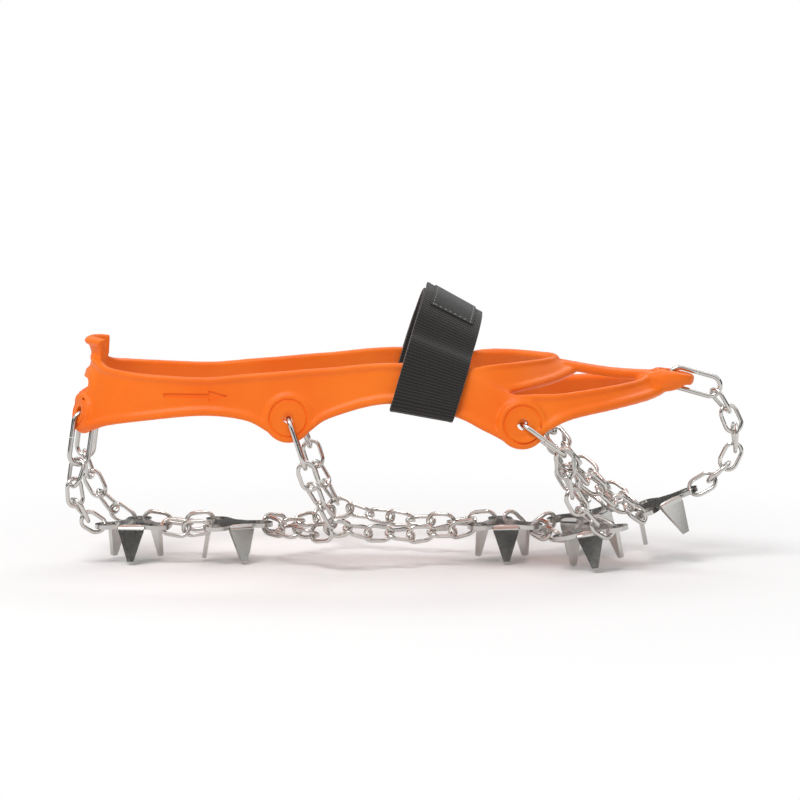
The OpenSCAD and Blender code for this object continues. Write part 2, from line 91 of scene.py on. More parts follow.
# Node groups for effects that several finishes share
def new_group(name, inputs, outputs):
    group = bpy.data.node_groups.new(name, "ShaderNodeTree")
    for label, kind, value in inputs:
        socket = group.interface.new_socket(label, in_out="INPUT", socket_type=kind)
        if value is not None:
            socket.default_value = value
    for label, kind in outputs:
        group.interface.new_socket(label, in_out="OUTPUT", socket_type=kind)
    return group, group.nodes.new("NodeGroupInput"), group.nodes.new("NodeGroupOutput")


def add_math(tree, operation, first, second):
    node = tree.nodes.new("ShaderNodeMath")
    node.operation = operation
    for socket, value in zip(node.inputs, (first, second)):
        if isinstance(value, (int, float)):
            socket.default_value = value
        else:
            tree.links.new(value, socket)
    return node.outputs[0]


def add_noise(tree, vector, scale, detail, roughness=0.5):
    node = tree.nodes.new("ShaderNodeTexNoise")
    node.inputs["Detail"].default_value = detail
    node.inputs["Roughness"].default_value = roughness
    tree.links.new(vector, node.inputs["Vector"])
    if isinstance(scale, (int, float)):
        node.inputs["Scale"].default_value = scale
    else:
        tree.links.new(scale, node.inputs["Scale"])
    return node.outputs["Fac"]


def make_grain_group():
    group, entry, leave = new_group(
        "surface_grain",
        [("Vector", "NodeSocketVector", None), ("Scale", "NodeSocketFloat", 400.0)],
        [("Grain", "NodeSocketFloat"), ("Clouds", "NodeSocketFloat")])
    grain = add_noise(group, entry.outputs["Vector"], entry.outputs["Scale"], 3)
    clouds = add_noise(group, entry.outputs["Vector"], 28, 2)
    group.links.new(grain, leave.inputs["Grain"])
    group.links.new(clouds, leave.inputs["Clouds"])
    return group


def make_weave_group():
    group, entry, leave = new_group(
        "webbing_weave",
        [("Across", "NodeSocketFloat", 0.0), ("Along", "NodeSocketFloat", 0.0),
         ("Row", "NodeSocketFloat", 1.4), ("Yarn", "NodeSocketFloat", 1.1)],
        [("Height", "NodeSocketFloat"), ("Rib", "NodeSocketFloat")])
    row = add_math(group, "DIVIDE", entry.outputs["Along"], entry.outputs["Row"])
    yarn = add_math(group, "DIVIDE", entry.outputs["Across"], entry.outputs["Yarn"])
    wave = add_math(group, "SINE", add_math(group, "MULTIPLY", row, math.pi), 0)
    rib = add_math(group, "ABSOLUTE", wave, 0)
    shift = add_math(group, "MULTIPLY", add_math(group, "FLOOR", row, 0), 0.5)
    across = add_math(group, "MULTIPLY", add_math(group, "ADD", yarn, shift), math.pi)
    thread = add_math(group, "ABSOLUTE", add_math(group, "SINE", across, 0), 0)
    crown = add_math(group, "ADD", add_math(group, "MULTIPLY", thread, 0.6), 0.4)
    height = add_math(group, "MULTIPLY", rib, crown)
    group.links.new(height, leave.inputs["Height"])
    group.links.new(rib, leave.inputs["Rib"])
    return group


GRAIN = make_grain_group()
WEAVE = make_weave_group()


class Finish:
    """A procedural material with its Principled shader, and short ways to feed it."""

    def __init__(self, name, **constants):
        self.material = bpy.data.materials.new(name)
        self.material.use_nodes = True
        self.tree = self.material.node_tree
        self.shader = self.tree.nodes["Principled BSDF"]
        for label, value in constants.items():
            self.shader.inputs[label.replace("_", " ")].default_value = value

    def place(self):
        return self.tree.nodes.new("ShaderNodeTexCoord").outputs["Object"]

    def group(self, group, vector=None, **values):
        node = self.tree.nodes.new("ShaderNodeGroup")
        node.node_tree = group
        if vector is not None:
            self.tree.links.new(vector, node.inputs["Vector"])
        for label, value in values.items():
            if isinstance(value, (int, float)):
                node.inputs[label].default_value = value
            else:
                self.tree.links.new(value, node.inputs[label])
        return node.outputs

    def attribute(self, name):
        node = self.tree.nodes.new("ShaderNodeAttribute")
        node.attribute_name = name
        return node.outputs["Fac"]

    def ramp(self, factor, stops):
        node = self.tree.nodes.new("ShaderNodeValToRGB")
        ramp = node.color_ramp
        while len(ramp.elements) < len(stops):
            ramp.elements.new(0.5)
        for element, (position, color) in zip(ramp.elements, stops):
            element.position = position
            element.color = (*color, 1)
        self.tree.links.new(factor, node.inputs["Fac"])
        return node.outputs["Color"]

    def between(self, factor, low, high):
        node = self.tree.nodes.new("ShaderNodeMapRange")
        node.inputs["To Min"].default_value = low
        node.inputs["To Max"].default_value = high
        self.tree.links.new(factor, node.inputs["Value"])
        return node.outputs["Result"]

    def feed(self, label, source):
        self.tree.links.new(source, self.shader.inputs[label])

    def bump(self, height, distance, strength=1.0):
        node = self.tree.nodes.new("ShaderNodeBump")
        node.inputs["Distance"].default_value = distance
        node.inputs["Strength"].default_value = strength
        self.tree.links.new(height, node.inputs["Height"])
        self.feed("Normal", node.outputs["Normal"])


def make_harness_finish():
    finish = Finish("harness_tpe", Subsurface_Weight=0.1, Subsurface_Scale=0.003,
                    Subsurface_Radius=(1.0, 0.35, 0.1), Specular_IOR_Level=0.3)
    grain = finish.group(GRAIN, finish.place(), Scale=1100)
    finish.feed("Base Color", finish.ramp(grain["Clouds"], [
        (0.3, (0.95, 0.162, 0.005)), (0.7, (1.0, 0.205, 0.010))]))
    finish.feed("Roughness", finish.between(grain["Grain"], 0.36, 0.54))
    finish.bump(grain["Grain"], 0.00006, 0.4)
    return finish.material


def make_webbing_finish(name, hollow_shade, light, row, yarn, depth):
    finish = Finish(name, Specular_IOR_Level=0.3, Sheen_Weight=0.25, Sheen_Roughness=0.5)
    weave = finish.group(WEAVE, Across=finish.attribute("across"), Along=finish.attribute("along"),
                         Row=row, Yarn=yarn)
    grain = finish.group(GRAIN, finish.place(), Scale=1500)
    # The colour follows the weave's height, varied by the grain: painted shade in the weave's hollows and
    # painted light on its crowns.
    weave_painted_shade = add_math(finish.tree, "MULTIPLY", weave["Height"], finish.between(grain["Grain"], 0.7, 1.2))
    finish.feed("Base Color", finish.ramp(weave_painted_shade, [(0.1, hollow_shade), (0.85, light)]))
    finish.feed("Roughness", finish.between(grain["Grain"], 0.72, 0.95))
    finish.bump(weave["Height"], depth)
    return finish.material


def make_steel_finish(name, tint, rough, scratch_scale):
    finish = Finish(name, Metallic=1.0)
    grain = finish.group(GRAIN, finish.place(), Scale=scratch_scale)
    dull = tuple(c * 0.82 for c in tint)
    finish.feed("Base Color", finish.ramp(grain["Clouds"], [(0.3, dull), (0.65, tint)]))
    finish.feed("Roughness", finish.between(grain["Grain"], rough * 0.7, rough * 1.4))
    finish.bump(grain["Grain"], 0.00003, 0.35)
    return finish.material


def make_thread_finish():
    finish = Finish("sewing_thread", Specular_IOR_Level=0.3)
    grain = finish.group(GRAIN, finish.place(), Scale=2500)
    finish.feed("Base Color", finish.ramp(grain["Grain"], [
        (0.3, (0.16, 0.155, 0.15)), (0.7, (0.32, 0.31, 0.30))]))
    finish.feed("Roughness", finish.between(grain["Grain"], 0.7, 0.9))
    finish.bump(grain["Grain"], 0.00005)
    return finish.material


harness_finish = make_harness_finish()
# The three woven finishes below carry painted shade in the weave's hollows and painted light on its crowns.
webbing_finish = make_webbing_finish(
    "webbing_black", (0.004, 0.0035, 0.003), (0.034, 0.030, 0.027), row=1.4, yarn=1.1, depth=0.00025)
tape_finish = make_webbing_finish(
    "hook_tape", (0.003, 0.003, 0.003), (0.016, 0.0155, 0.015), row=0.7, yarn=0.7, depth=0.0003)
patch_finish = make_webbing_finish(
    "sewn_patch", (0.008, 0.0075, 0.007), (0.024, 0.0225, 0.021), row=0.45, yarn=0.45, depth=0.00006)
thread_finish = make_thread_finish()
wire_finish = make_steel_finish("wire_steel", (0.66, 0.64, 0.61), rough=0.13, scratch_scale=900)
plate_finish = make_steel_finish("plate_steel", (0.60, 0.585, 0.56), rough=0.2, scratch_scale=900)


# A finished piece of the object, on the body that it rides and in place of the nodes that it stands for
def add_piece(name, bm, material, body, replaced, smooth_angle=35):
    piece = mesh_object(name, bm)
    mesh = piece.data
    mesh.materials.append(material)
    mesh.shade_smooth()
    if smooth_angle < 180:
        mesh.set_sharp_from_angle(angle=math.radians(smooth_angle))
    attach(piece, body)
    if replaced:
        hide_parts(*replaced)
    return piece


def unit_frame(x, y):
    z = x.cross(y).normalized()
    y = z.cross(x).normalized()
    return Matrix((x, y, z)).transposed().to_4x4()


# Curves through stations
def spline_point(a, b, c, d, t):
    """Point on the curve from b to c, with a before them and d after."""
    square = 2 * a - 5 * b + 4 * c - d
    cube = 3 * b - a - 3 * c + d
    return 0.5 * (2 * b + (c - a) * t + square * t ** 2 + cube * t ** 3)


def row_index(i, count, loop):
    return i % count if loop else max(0, min(count - 1, i))


def refine(rows, steps, loop):
    """Rows of vectors, with a spline's points put between them."""
    count = len(rows)
    fine = []
    for i in range(count if loop else count - 1):
        around = [rows[row_index(i + k, count, loop)] for k in (-1, 0, 1, 2)]
        for k in range(steps):
            fine.append([spline_point(*column, k / steps) for column in zip(*around)])
    if not loop:
        fine.append(list(rows[-1]))
    return fine


def sweep_sections(bm, sections, loop):
    """A skin that is extruded from section to section, closed into a ring or capped at both ends."""
    ring = [bm.verts.new(p) for p in sections[0]]
    first = ring
    edges = [bm.edges.new((ring[k - 1], ring[k])) for k in range(len(ring))]
    if not loop:
        bm.faces.new(list(reversed(ring)))
    for section in sections[1:]:
        made = bmesh.ops.extrude_edge_only(bm, edges=edges)["geom"]
        copies = [g for g in made if isinstance(g, bmesh.types.BMVert)]
        twin = {}
        for v in copies:
            for e in v.link_edges:
                other = e.other_vert(v)
                if other in ring:
                    twin[other] = v
        ring = [twin[v] for v in ring]
        edges = [bm.edges.get((ring[k - 1], ring[k])) for k in range(len(ring))]
        for v, p in zip(ring, section):
            v.co = p
    if loop:
        first_edges = [bm.edges.get((first[k - 1], first[k])) for k in range(len(first))]
        bmesh.ops.bridge_loops(bm, edges=edges + first_edges)
    else:
        bm.faces.new(ring)
    bmesh.ops.recalc_face_normals(bm, faces=bm.faces)


# Harness: the construction's stations with rounder lobes, as pairs of a lower and an upper edge point
WALL = 3.6
RIGHT_STATIONS = [
    ((-153, 0, 57), (-145.3, 0, 81.5)), ((-152.8, -9, 50), (-144.8, -8, 81)),
    ((-151.5, -15.5, 45), (-142.6, -14, 79.3)), ((-146.5, -23, 47), (-138.3, -21, 77)),
    ((-138, -30, 50), (-131, -28, 75.8)), ((-122, -36, 52.5), (-118, -34, 74.5)),
    ((-92, -39.5, 55.6), (-92, -37, 73.3)), ((-72, -40, 53.5), (-72, -37.3, 74.8)),
    ((-61, -40.3, 48), (-61, -37.4, 75.6)), ((-51.7, -40.5, 43.5), (-51.7, -37.5, 76.4)),
    ((-42.5, -40.5, 48), (-42.5, -37.7, 77.2)), ((-32, -40.8, 54.8), (-32, -38, 78)),
    ((-5, -42, 61.5), (-5, -39, 80.3)), ((24, -46.5, 56.5), (24, -41.5, 79)),
    ((40, -49, 49.2), (38, -43.5, 74)), ((56, -49.8, 42.5), (51, -45, 67)),
    ((68, -48, 49.5), (64, -43.5, 66.3)), ((80, -44.5, 55), (76, -40.5, 66.5)),
    ((102, -33, 59), (97, -29.5, 68.5)), ((119, -17, 62), (112, -14, 70)),
    ((127, 0, 64), (118, 0, 72))]
RIGHT_BRANCH = [
    ((41, -44.5, 63), (22, -40.5, 77.5)), ((53, -40.5, 67), (36, -40, 79)),
    ((64, -32, 68.5), (52, -33, 80)), ((75, -18, 70), (66, -18, 80.3)),
    ((83, -6, 73), (72, -6, 80.3))]
RIGHT_TAB = [
    ((-141.2, -10.5, 76), (-140.4, -14, 88.2)), ((-142.8, -8.5, 76), (-144.4, -10.5, 88.8)),
    ((-144.2, -4.5, 76), (-148, -5, 88.8))]
WALL_STEPS = 8
BAND_RIMS, BRANCH_RIMS, TAB_RIMS = (1.0, 0.85), (0.85, 0.7), (0.0, 1.4)
BRANCH_ROOT = (20, 50)
BRANCH_SUNK = 0.5
SUNK_RUN = 1.6
BARE_RUN = 8
BRANCH_CREASE = (Vector((28, -42, 78)), Vector((50, -45, 67.5)))
CREASE_REACH = 8
CREASE_ROUNDS = 70
SPINE_SLOPE = [(76, 77.5), (100, 73.5), (124, 72)]
SPINE_WIDTH = 12
SPINE_STEPS = 6
TOE_EYELET = Vector((128.5, 0, 72.4))
TOE_OUT = Vector((math.sin(math.radians(10)), 0, math.cos(math.radians(10))))
TOE_LOBE = 20
TOE_LOBE_BACK = 1.5
TOE_GROOVE = 11
TOE_THICKNESS = 5.3
TOE_PROUD = 0.4
TOE_EDGE = 1.6
TOE_CHEEK = Vector((-5, -6.2, -4.4))
TOE_CHEEK_SIZE = Vector((12, 3.2, 5.0))
# Right-hand eyelets: centre, outward direction, and diameters of the lobe and of the groove on it
EYELETS = [
    (Vector((-150, -14.5, 54.5)), Vector((-0.86, -0.45, 0.24)), 17.5, 13.6),
    (Vector((-51.7, -39.4, 54.5)), Vector((0, -1, 0.09)), 23, 17.4),
    (Vector((56.4, -47.7, 52.5)), Vector((0.12, -0.97, 0.12)), 23, 17.4)]
BORE = 5.2
BORE_CUT = 24
GROOVE = 1.2
BORE_BEAD = 1.7
BEAD_OUT, BEAD_SUNK = 1.3, 0.5
LOBE_PROUD = 1.25
LOBE_EDGE = 1.1
SLOT_Z = 66.5
SLOT_WIDTH = 30
SLOT_HEIGHT = 8
SLOT_REACH = (SLOT_WIDTH - SLOT_HEIGHT) / 2
SLOT_RIM = 1.1
SLOT_RIM_REACH, SLOT_RIM_FALL = 4.8, 2.4
SLOT_CUT_START, SLOT_CUT_END = -170, -135
VOXEL = 0.75


def flip_y(p):
    return Vector((p[0], -p[1], p[2]))


def both_ways(stations, shared_ends):
    """Right-hand stations, then their mirror images back again."""
    right = [(Vector(low), Vector(high)) for low, high in stations]
    tail = right[1:-1] if shared_ends else right
    return right + [(flip_y(low), flip_y(high)) for low, high in reversed(tail)]


def rimmed_profile(height, low_rim, high_rim):
    """Wall section as (up, out) points from the lower edge, in millimetres."""
    low_edge = [(0, -1.0), (0.25, low_rim * 0.3), (0.9, low_rim * 0.9), (1.8, low_rim),
                (3.0, low_rim * 0.95), (3.7, low_rim * 0.5)]
    face = [(4.0, -0.15), (height / 2, -0.1), (height - 3.1, -0.15)]
    high_edge = [(height - 2.8, high_rim * 0.5), (height - 2.2, high_rim * 0.95), (height - 1.2, high_rim),
                 (height - 0.5, high_rim * 0.7), (height - 0.05, -0.1), (height, -0.9)]
    inside = [(height, -2.6), (height - 0.35, -3.3), (height - 1.0, -WALL), (height / 2, -WALL),
              (1.0, -WALL), (0.35, -3.3), (0, -2.6)]
    return low_edge + face + high_edge + inside


def smooth_step(share):
    share = max(0.0, min(1.0, share))
    return share * share * (3 - 2 * share)


def wall_sections(stations, loop, rims, sunk_ends=0, bare=None):
    """Sections of a wall with its lower and upper rim. An open wall's ends can sink below the face that
    they run into, and lose their rims there. bare is a stretch along X without the upper rim."""
    low_rim, high_rim = rims
    fine = refine(stations, WALL_STEPS, loop)
    count = len(fine)
    sections = []
    for i, (low, high) in enumerate(fine):
        before = fine[row_index(i - 1, count, loop)]
        after = fine[row_index(i + 1, count, loop)]
        along = (after[0] + after[1]) - (before[0] + before[1])
        up = (high - low).normalized()
        out = along.cross(up).normalized()
        clear = smooth_step(min(i, count - 1 - i) / WALL_STEPS / SUNK_RUN) if sunk_ends else 1
        outside = max(bare[0] - high.x, high.x - bare[1]) if bare else BARE_RUN
        high_here = high_rim * clear * smooth_step(outside / BARE_RUN + 0.5)
        profile = rimmed_profile((high - low).length, low_rim * clear, high_here)
        sections.append([(low + up * u + out * (v - sunk_ends * (1 - clear))) * MM for u, v in profile])
    return sections


def aim(point, way):
    return Matrix.Translation(point * MM) @ way.normalized().to_track_quat("Z", "X").to_matrix().to_4x4()


def add_disc(bm, matrix, diameter, height, edge):
    radius = diameter / 2 * MM
    made = bmesh.ops.create_cone(
        bm, cap_ends=True, segments=48, radius1=radius, radius2=radius, depth=height * MM)
    rims = {e for v in made["verts"] for e in v.link_edges
            if len({round(w.co.z, 7) for w in e.verts}) == 1}
    bevelled = bmesh.ops.bevel(
        bm, geom=list(rims), offset=edge * MM, offset_type="OFFSET", segments=3, profile=0.5,
        affect="EDGES", material=-1)
    moved = set(bevelled["verts"]) | {v for v in made["verts"] if v.is_valid}
    bmesh.ops.transform(bm, matrix=matrix, verts=list(moved))


def add_torus(bm, matrix, radius, wire):
    made = bmesh.ops.create_circle(
        bm, segments=12, radius=wire / 2 * MM,
        matrix=Matrix.Translation((radius * MM, 0, 0)) @ Matrix.Rotation(math.pi / 2, 4, "X"))
    edges = list({e for v in made["verts"] for e in v.link_edges})
    start = set(bm.verts) - set(made["verts"])
    bmesh.ops.spin(bm, geom=made["verts"] + edges, cent=(0, 0, 0), axis=(0, 0, 1),
                   angle=2 * math.pi, steps=40, use_merge=True)
    verts = [v for v in bm.verts if v not in start]
    bmesh.ops.transform(bm, matrix=matrix, verts=verts)


def all_eyelets():
    """Centre, outward direction, lobe and groove of each eyelet, the toe's last."""
    right = [(p, out.normalized(), lobe, groove) for p, out, lobe, groove in EYELETS]
    left = [(flip_y(p), flip_y(out), lobe, groove) for p, out, lobe, groove in right]
    return right + left + [(TOE_EYELET, TOE_OUT, TOE_LOBE, TOE_GROOVE)]


def shift_up(distance):
    return Matrix.Translation((0, 0, distance * MM))


def add_wall(bm, stations, loop, rims, **ends):
    sweep_sections(bm, wall_sections(stations, loop, rims, **ends), loop)


def spine_profile():
    """Section of the spine as (across, up) points from its right edge, in millimetres."""
    edge = [(-0.3, -1.2), (0.4, 0.3), (1.4, 0.5), (2.6, 0.0)]
    other_edge = [(SPINE_WIDTH - across, up) for across, up in reversed(edge)]
    return edge + [(SPINE_WIDTH / 2, -0.1)] + other_edge + [(SPINE_WIDTH - 0.4, -WALL), (0.4, -WALL)]


def add_spine(bm):
    stations = [(Vector((x, -SPINE_WIDTH / 2, z)),) for x, z in SPINE_SLOPE]
    profile = spine_profile()
    sections = [[(edge + Y_AXIS * across + Z_AXIS * up) * MM for across, up in profile]
                for (edge,) in refine(stations, SPINE_STEPS, False)]
    sweep_sections(bm, sections, False)


def add_toe_nose(bm):
    nose = aim(TOE_EYELET, TOE_OUT) @ Matrix.Translation((-TOE_LOBE_BACK * MM, 0, 0))
    add_disc(bm, nose @ shift_up(TOE_PROUD - TOE_THICKNESS / 2), TOE_LOBE, TOE_THICKNESS, TOE_EDGE)
    for flip in (Vector, flip_y):
        cheek = Matrix.Translation((TOE_EYELET + flip(TOE_CHEEK)) * MM)
        bmesh.ops.create_uvsphere(bm, u_segments=24, v_segments=16, radius=MM,
                                  matrix=cheek @ Matrix.Diagonal(TOE_CHEEK_SIZE).to_4x4())


def add_lobe(bm, point, out, lobe):
    """Thick disc round an eyelet, with a bead round its bore."""
    add_disc(bm, aim(point, out) @ shift_up((LOBE_PROUD - WALL) / 2), lobe, WALL + LOBE_PROUD, LOBE_EDGE)
    add_torus(bm, aim(point, out) @ shift_up(LOBE_PROUD - BEAD_SUNK), BORE / 2 + BEAD_OUT, BORE_BEAD)


def build_harness_shell(bm):
    add_wall(bm, both_ways(RIGHT_STATIONS, True), True, BAND_RIMS, bare=BRANCH_ROOT)
    add_wall(bm, both_ways(RIGHT_BRANCH, False), False, BRANCH_RIMS, sunk_ends=BRANCH_SUNK)
    add_wall(bm, list(reversed(both_ways(RIGHT_TAB, False))), False, TAB_RIMS)
    add_spine(bm)
    add_toe_nose(bm)
    for point, out, lobe, _ in all_eyelets():
        if point is not TOE_EYELET:
            add_lobe(bm, point, out, lobe)


def cut_with(target, cutter_bm):
    cutter = mesh_object("cutter", cutter_bm)
    modifier = target.modifiers.new("cut", "BOOLEAN")
    modifier.operation = "DIFFERENCE"
    modifier.solver = "EXACT"
    modifier.object = cutter
    apply_modifiers(target)
    bpy.data.objects.remove(cutter)


def apply_modifiers(target):
    evaluated = target.evaluated_get(bpy.context.evaluated_depsgraph_get())
    mesh = bpy.data.meshes.new_from_object(evaluated)
    target.modifiers.clear()
    old = target.data
    target.data = mesh
    bpy.data.meshes.remove(old)


def remesh(target, voxel, rounds):
    modifier = target.modifiers.new("remesh", "REMESH")
    modifier.mode = "VOXEL"
    modifier.voxel_size = voxel * MM
    relax(target, rounds)


def relax(target, rounds, group=""):
    smooth = target.modifiers.new("smooth", "SMOOTH")
    smooth.vertex_group = group
    smooth.factor = 0.5
    smooth.iterations = rounds
    apply_modifiers(target)


# Moulded arrow that points to the toe: places along X with the half height at each
ARROW_TAIL, ARROW_NECK, ARROW_TIP = -109.6, -88.6, -80
ARROW_Z = 64.8
ARROW_DEPTH = 0.8
ARROW_CLEAR = 3
ARROW_SHAFT, ARROW_HEAD, ARROW_POINT = 1.05, 2.5, 0.15


def spread(start, end, half_start, half_end, count=8):
    """Even steps along X, with the arrow's half height at each."""
    return [(start + (end - start) * k / count, half_start + (half_end - half_start) * k / count)
            for k in range(count + 1)]


ARROW_SHAPE = (spread(ARROW_TAIL, ARROW_NECK - 0.05, ARROW_SHAFT, ARROW_SHAFT)
               + spread(ARROW_NECK, ARROW_TIP, ARROW_HEAD, ARROW_POINT))


def band_face(x, z):
    """Y of the right band's outer face at a place."""
    fine = refine([(Vector(low), Vector(high)) for low, high in RIGHT_STATIONS], WALL_STEPS, False)
    level = [low.lerp(high, (z - low.z) / (high.z - low.z)) for low, high in fine]
    for a, b in zip(level, level[1:]):
        if a.x <= x <= b.x:
            return a.y + (b.y - a.y) * (x - a.x) / (b.x - a.x)


def arrow_section(x, half):
    top, bottom = ARROW_Z + half, ARROW_Z - half
    corners = [(top, -ARROW_CLEAR), (bottom, -ARROW_CLEAR), (bottom, ARROW_DEPTH), (top, ARROW_DEPTH)]
    return [Vector((x, band_face(x, z) + inward, z)) for z, inward in corners]


def slot_outline():
    """Rounded outline of the heel slot as (y, z) points about its middle."""
    radius = SLOT_HEIGHT / 2
    outline = []
    for side in (1, -1):
        for degrees in range(0, 181, 15):
            turn = math.radians(degrees)
            outline.append((side * (SLOT_REACH + radius * math.sin(turn)), side * radius * math.cos(turn)))
    return outline


def add_slot_cutter(bm):
    corners = [Vector((SLOT_CUT_START, y, SLOT_Z + z)) * MM for y, z in slot_outline()]
    face = bm.faces.new([bm.verts.new(corner) for corner in corners])
    pushed = bmesh.ops.extrude_face_region(bm, geom=[face])["geom"]
    bmesh.ops.translate(bm, vec=((SLOT_CUT_END - SLOT_CUT_START) * MM, 0, 0),
                        verts=[g for g in pushed if isinstance(g, bmesh.types.BMVert)])


def harness_cutters():
    bm = bmesh.new()
    for point, out, _, groove in all_eyelets():
        bmesh.ops.create_cone(bm, cap_ends=True, segments=40, radius1=BORE / 2 * MM, radius2=BORE / 2 * MM,
                              depth=BORE_CUT * MM, matrix=aim(point, out))
        proud = TOE_PROUD if point is TOE_EYELET else LOBE_PROUD
        add_torus(bm, aim(point, out) @ shift_up(proud), groove / 2, GROOVE)
    for flip in (Vector, flip_y):
        sections = [[flip(p) * MM for p in arrow_section(x, half)] for x, half in ARROW_SHAPE]
        sweep_sections(bm, sections, False)
    add_slot_cutter(bm)
    bmesh.ops.recalc_face_normals(bm, faces=bm.faces)
    return bm


def slot_rim_share(y, z):
    """1 on the raised rim round the heel slot, 0 away from it."""
    distance = math.hypot(max(0.0, abs(y) - SLOT_REACH), z - SLOT_Z) - SLOT_HEIGHT / 2
    return smooth_step((SLOT_RIM_REACH - distance) / SLOT_RIM_FALL)


def raise_slot_rim(piece):
    normals = [vertex.normal.copy() for vertex in piece.data.vertices]
    for vertex, normal in zip(piece.data.vertices, normals):
        x, y, z = (c / MM for c in vertex.co)
        if x < SLOT_CUT_END and normal.x < 0:
            vertex.co += normal * SLOT_RIM * MM * slot_rim_share(y, z) * smooth_step(-2 * normal.x)


def blend_branch_roots(piece):
    """Soften the crease where each branch leaves the band."""
    start, end = BRANCH_CREASE
    root = piece.vertex_groups.new(name="branch_root")
    for vertex in piece.data.vertices:
        x, y, z = (c / MM for c in vertex.co)
        place = Vector((x, -abs(y), z))
        share = intersect_point_line(place, start, end)[1]
        reach = (place - start.lerp(end, max(0, min(1, share)))).length
        if reach < CREASE_REACH:
            root.add([vertex.index], smooth_step(2 - 2 * reach / CREASE_REACH), "REPLACE")
    relax(piece, CREASE_ROUNDS, root.name)


def make_harness():
    bm = bmesh.new()
    build_harness_shell(bm)
    piece = add_piece("harness_moulding", bm, harness_finish, "harness", ["harness"], 180)
    remesh(piece, VOXEL, 2)
    raise_slot_rim(piece)
    relax(piece, 2)
    blend_branch_roots(piece)
    cut_with(piece, harness_cutters())
    piece.data.shade_smooth()
    piece.data.set_sharp_from_angle(angle=math.radians(50))


make_harness()


# Islands of a packed wire node: each gives the place, length, width and wire of one link or ring
def wire_islands(node):
    bm = bmesh.new()
    bm.from_mesh(nodes[node].data)
    bmesh.ops.remove_doubles(bm, verts=bm.verts, dist=1e-6)
    left = set(bm.verts)
    found = []
    while left:
        heap = [left.pop()]
        island = []
        while heap:
            v = heap.pop()
            island.append(v.co.copy())
            for e in v.link_edges:
                other = e.other_vert(v)
                if other in left:
                    left.remove(other)
                    heap.append(other)
        found.append(island)
    bm.free()
    return found


def island_frame(points):
    """Middle and axes of an oval of wire, longest first, with its size along them."""
    cloud = numpy.array([tuple(p) for p in points])
    middle = (cloud.max(0) + cloud.min(0)) / 2
    for _ in range(3):
        _, _, axes = numpy.linalg.svd(cloud - middle, full_matrices=False)
        along = (cloud - middle) @ axes.T
        middle = middle + ((along.max(0) + along.min(0)) / 2) @ axes
    along = (cloud - middle) @ axes.T
    size = along.max(0) - along.min(0)
    return Vector(middle), [Vector(a) for a in axes], size


WIRE_SIDES, BEND_STEPS, LEG_CUTS = 14, 14, 4


def add_wire_oval(bm, middle, axes, length, width, wire, twist, gap):
    """An oval of round wire, twisted about its length, with an open butt joint if gap isn't 0."""
    before = set(bm.verts)
    bow = (width - wire) / 2
    leg = length - width
    path_start = Vector((gap / 2, bow, 0))
    made = bmesh.ops.create_circle(
        bm, cap_ends=gap > 0, segments=WIRE_SIDES, radius=wire / 2,
        matrix=Matrix.Translation(path_start) @ Matrix.Rotation(math.pi / 2, 4, "Y"))
    ring = made["verts"]

    def ring_edges(verts):
        edges = {e for v in verts for e in v.link_edges}
        return [e for e in edges if e.verts[0] in verts and e.verts[1] in verts]

    def push(verts, offset, cuts):
        for _ in range(cuts):
            out = bmesh.ops.extrude_edge_only(bm, edges=ring_edges(verts))["geom"]
            verts = [g for g in out if isinstance(g, bmesh.types.BMVert)]
            bmesh.ops.translate(bm, vec=offset / cuts, verts=verts)
        return verts

    def turn(verts, centre):
        out = bmesh.ops.spin(bm, geom=verts + ring_edges(verts), cent=centre, axis=(0, 0, 1),
                             angle=-math.pi, steps=BEND_STEPS)
        return [g for g in out["geom_last"] if isinstance(g, bmesh.types.BMVert)]

    ring = push(ring, Vector(((leg - gap) / 2, 0, 0)), LEG_CUTS)
    ring = turn(ring, Vector((leg / 2, 0, 0)))
    ring = push(ring, Vector((-leg, 0, 0)), 2 * LEG_CUTS)
    ring = turn(ring, Vector((-leg / 2, 0, 0)))
    ring = push(ring, Vector(((leg - gap) / 2, 0, 0)), LEG_CUTS)
    if gap > 0:
        bmesh.ops.contextual_create(bm, geom=ring_edges(ring))
    verts = [v for v in bm.verts if v not in before]
    if gap == 0:
        bmesh.ops.remove_doubles(bm, verts=verts, dist=wire * 0.02)
        verts = [v for v in bm.verts if v not in before]
    for v in verts:
        v.co = Matrix.Rotation(twist * v.co.x / length, 3, "X") @ v.co
    frame_matrix = Matrix.Translation(middle) @ unit_frame(axes[0], axes[1])
    bmesh.ops.transform(bm, matrix=frame_matrix, verts=verts)
    bmesh.ops.recalc_face_normals(bm, faces=list({f for v in verts for f in v.link_faces}))


LINK_TWIST = math.radians(26)
BUTT_GAP = 0.25
chain_nodes = sorted(n for n in nodes if n.startswith("chain_"))
ring_nodes = sorted(n for n in nodes if n.startswith(("ring_", "junction_")))


def make_chain(node):
    bm = bmesh.new()
    for island in wire_islands(node):
        middle, axes, size = island_frame(island)
        add_wire_oval(bm, middle, axes, size[0], size[1], size[2], LINK_TWIST, 0)
    add_piece(node + "_links", bm, wire_finish, node, [node], 60)


def make_ring(node):
    bm = bmesh.new()
    for island in wire_islands(node):
        middle, axes, size = island_frame(island)
        side = Z_AXIS if abs(middle.y) < 1e-4 else Vector((0, math.copysign(1, middle.y), 0))
        if axes[1].dot(side) < 0:
            axes[1] = -axes[1]
        gap = BUTT_GAP * MM if node.startswith("ring_") else 0
        add_wire_oval(bm, middle, axes, size[0], size[1], size[2], 0, gap)
    add_piece(node + "_wire", bm, wire_finish, node, [node], 60)


for chain_node in chain_nodes:
    make_chain(chain_node)
for ring_node in ring_nodes:
    make_ring(ring_node)


# Spike plates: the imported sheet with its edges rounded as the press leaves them
PRESSED_EDGE = 0.3


